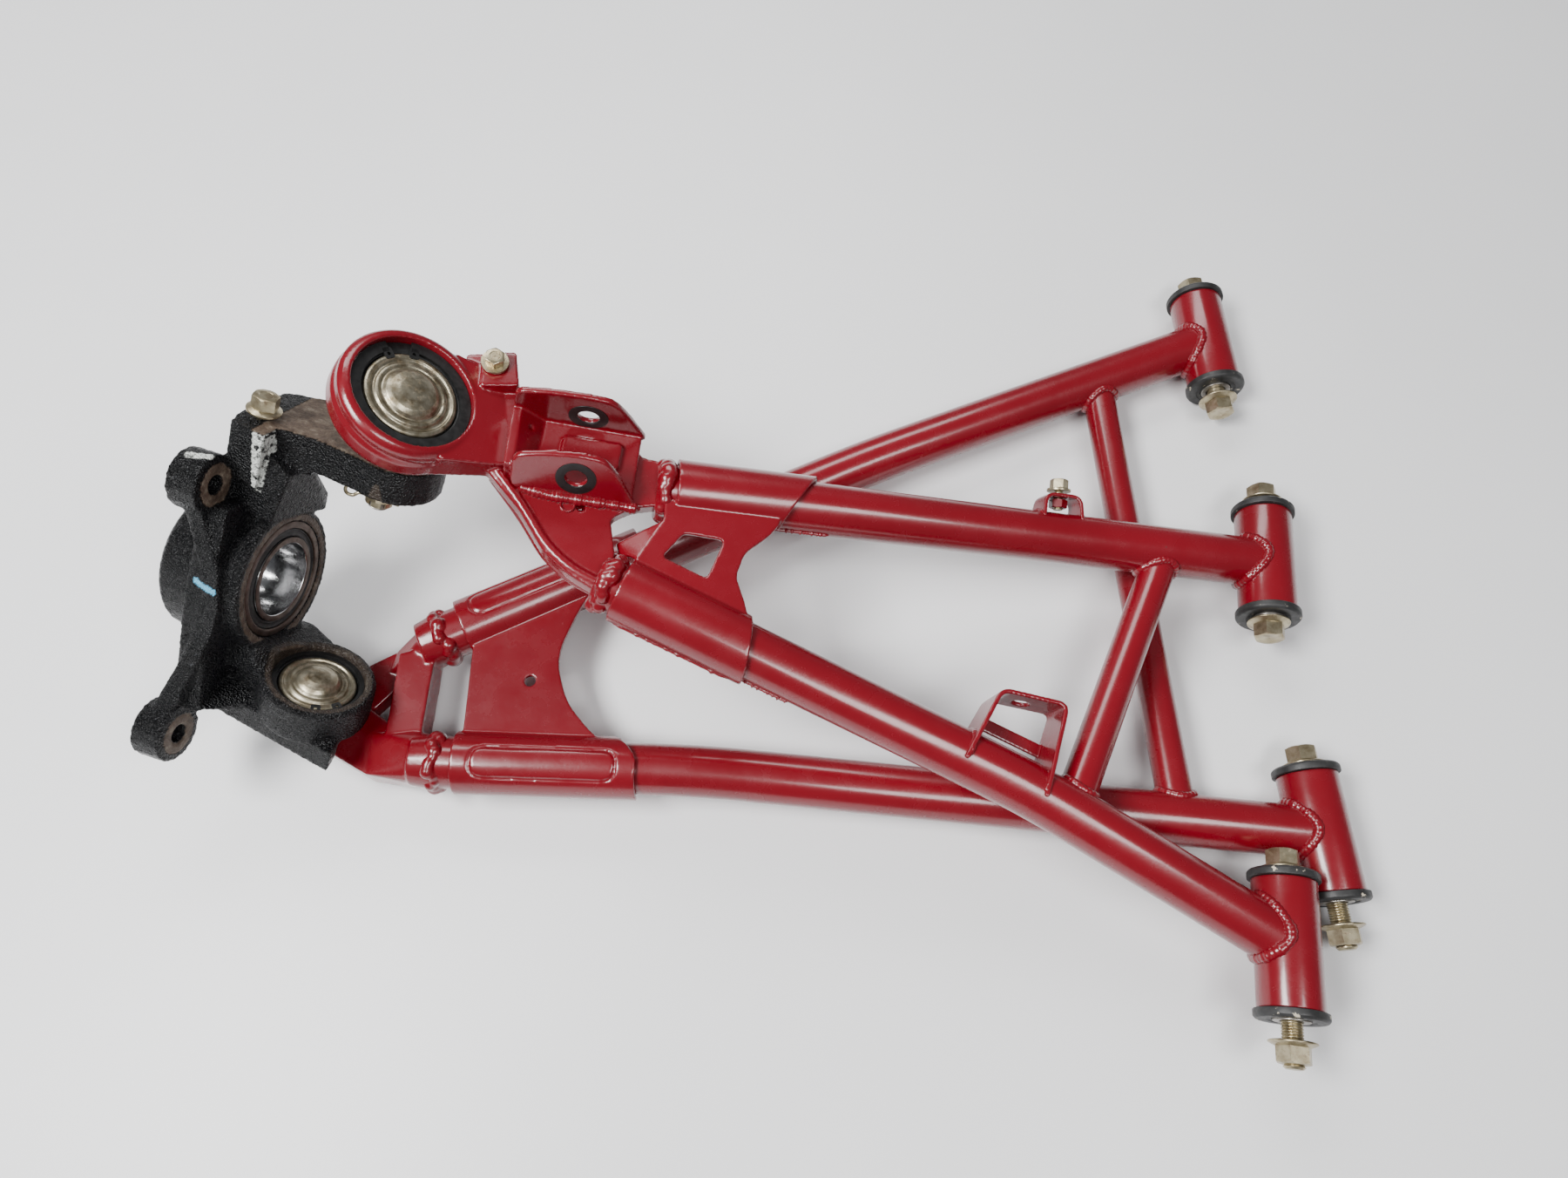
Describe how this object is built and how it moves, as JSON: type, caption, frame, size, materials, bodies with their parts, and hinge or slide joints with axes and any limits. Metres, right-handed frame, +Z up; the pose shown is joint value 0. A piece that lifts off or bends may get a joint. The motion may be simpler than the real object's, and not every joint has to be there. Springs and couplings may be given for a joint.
{
  "type": "off-road suspension corner",
  "caption": "Tubular red suspension arms joined by ball joints to a cast steering knuckle with a wheel bearing; bushed pivots with loose bolts",
  "frame": {"origin": "middle of the footprint, on the floor plane the lower arm lies on", "axes": "+X from the knuckle towards the chassis pivots (longest extent), +Y towards the rear pivots, +Z up"},
  "size_m": [0.7186, 0.5437, 0.1999],
  "materials": {
    "paint": "glossy red powder coat",
    "casting": "black painted rough casting",
    "plastic": "black moulded bushing",
    "rubber": "black rubber",
    "steel": "ground bright steel",
    "race": "surface rust",
    "zinc": "yellowed zinc plate with rust"
  },
  "bodies": {
    "lower_arm": {"lower_cross_tube": "paint", "lower_front_pivot_tube": "paint", "lower_front_tube": "paint", "lower_gusset": "paint", "lower_head": "paint", "lower_rear_pivot_tube": "paint", "lower_rear_tube": "paint", "lower_ball_stud": "steel", "lower_stud_nut": "zinc", "lower_rear_bushing_front": "plastic", "lower_rear_bushing_rear": "plastic", "lower_front_bushing_front": "plastic", "lower_front_bushing_rear": "plastic"},
    "lower_swivel": {"lower_boot": "rubber"},
    "steering_knuckle": {"knuckle": "casting", "clamp_bolt": "zinc", "bearing_outer_ring": "race", "bearing_seal": "rubber", "lower_joint_body": "zinc", "lower_circlip": "steel", "upper_ball_stud": "steel", "upper_castle_nut": "zinc", "upper_cotter_pin": "zinc"},
    "bearing_inner": {"bearing_inner_ring": "steel"},
    "bearing_cage": {"bearing_cage_and_balls": "steel"},
    "upper_swivel": {"upper_boot": "rubber"},
    "upper_arm": {"hose_bracket_large": "paint", "hose_bracket_small": "paint", "shock_clevis": "paint", "upper_cross_tube": "paint", "upper_front_pivot_tube": "paint", "upper_front_tube": "paint", "upper_gusset": "paint", "upper_head": "paint", "upper_rear_pivot_tube": "paint", "upper_rear_tube": "paint", "upper_joint_body": "zinc", "upper_circlip": "steel", "upper_head_bolt": "zinc", "small_bracket_bolt": "zinc", "small_bracket_nut": "zinc", "upper_rear_bushing_front": "plastic", "upper_rear_bushing_rear": "plastic", "upper_front_bushing_front": "plastic", "upper_front_bushing_rear": "plastic"},
    "lower_rear_sleeve_body": {"lower_rear_sleeve": "steel"},
    "lower_rear_bolt_body": {"lower_rear_bolt": "zinc", "lower_rear_nut": "zinc"},
    "lower_front_sleeve_body": {"lower_front_sleeve": "steel"},
    "lower_front_bolt_body": {"lower_front_bolt": "zinc", "lower_front_nut": "zinc"},
    "upper_rear_sleeve_body": {"upper_rear_sleeve": "steel"},
    "upper_rear_bolt_body": {"upper_rear_bolt": "zinc", "upper_rear_nut": "zinc"},
    "upper_front_sleeve_body": {"upper_front_sleeve": "steel"},
    "upper_front_bolt_body": {"upper_front_bolt": "zinc", "upper_front_nut": "zinc"}
  },
  "joints": [
    {"name": "lower_ball_turn", "type": "hinge", "parent": "lower_arm", "child": "lower_swivel", "pos_m": [-0.271, -0.064, 0.048], "axis": [0.06, 0.08, 0.995], "range_deg": [-4, 0]},
    {"name": "lower_ball_tilt", "type": "hinge", "parent": "lower_swivel", "child": "steering_knuckle", "pos_m": [-0.271, -0.064, 0.048], "axis": [0.7687, -0.6396, 0.0051], "range_deg": [0, 24]},
    {"name": "upper_ball_turn", "type": "hinge", "parent": "steering_knuckle", "child": "upper_swivel", "pos_m": [-0.202, 0.07, 0.16], "axis": [-0.373, -0.513, -0.7731], "range_deg": [0, 24]},
    {"name": "upper_ball_tilt", "type": "hinge", "parent": "upper_swivel", "child": "upper_arm", "pos_m": [-0.202, 0.07, 0.16], "axis": [-0.7561, -0.3147, 0.5737], "range_deg": [0, 24]},
    {"name": "wheel_bearing_spin", "type": "hinge", "parent": "steering_knuckle", "child": "bearing_inner", "pos_m": [-0.2838, -0.0027, 0.0886], "axis": [-0.9498, 0.3123, 0.019], "continuous": true},
    {"name": "bearing_cage_spin", "type": "hinge", "parent": "steering_knuckle", "child": "bearing_cage", "pos_m": [-0.2838, -0.0027, 0.0886], "axis": [-0.9498, 0.3123, 0.019], "continuous": true},
    {"name": "lower_rear_sleeve_turn", "type": "hinge", "parent": "lower_arm", "child": "lower_rear_sleeve_body", "pos_m": [0.3204, 0.2157, 0.02], "axis": [-0.0477, 0.9989, 0], "continuous": true},
    {"name": "lower_rear_bolt_slide", "type": "slide", "parent": "lower_rear_sleeve_body", "child": "lower_rear_bolt_body", "axis": [-0.0477, 0.9989, 0], "range_m": [-0.0003, 0.0067]},
    {"name": "lower_front_sleeve_turn", "type": "hinge", "parent": "lower_arm", "child": "lower_front_sleeve_body", "pos_m": [0.3374, -0.14, 0.02], "axis": [-0.0477, 0.9989, 0], "continuous": true},
    {"name": "lower_front_bolt_slide", "type": "slide", "parent": "lower_front_sleeve_body", "child": "lower_front_bolt_body", "axis": [-0.0477, 0.9989, 0], "range_m": [-0.0003, 0.0117]},
    {"name": "upper_rear_sleeve_turn", "type": "hinge", "parent": "upper_arm", "child": "upper_rear_sleeve_body", "pos_m": [0.3296, 0.0342, 0.031], "axis": [0.1318, 0.9906, -0.0371], "continuous": true},
    {"name": "upper_rear_bolt_slide", "type": "slide", "parent": "upper_rear_sleeve_body", "child": "upper_rear_bolt_body", "axis": [0.1318, 0.9906, -0.0371], "range_m": [-0.0042, 0.0009]},
    {"name": "upper_front_sleeve_turn", "type": "hinge", "parent": "upper_arm", "child": "upper_front_sleeve_body", "pos_m": [0.2976, -0.2064, 0.04], "axis": [0.1318, 0.9906, -0.0371], "continuous": true},
    {"name": "upper_front_bolt_slide", "type": "slide", "parent": "upper_front_sleeve_body", "child": "upper_front_bolt_body", "axis": [0.1318, 0.9906, -0.0371], "range_m": [-0.0003, 0.0028]}
  ],
  "couplings": [
    {"joint": "bearing_cage_spin", "follows": "wheel_bearing_spin", "ratio": 0.42}
  ]
}
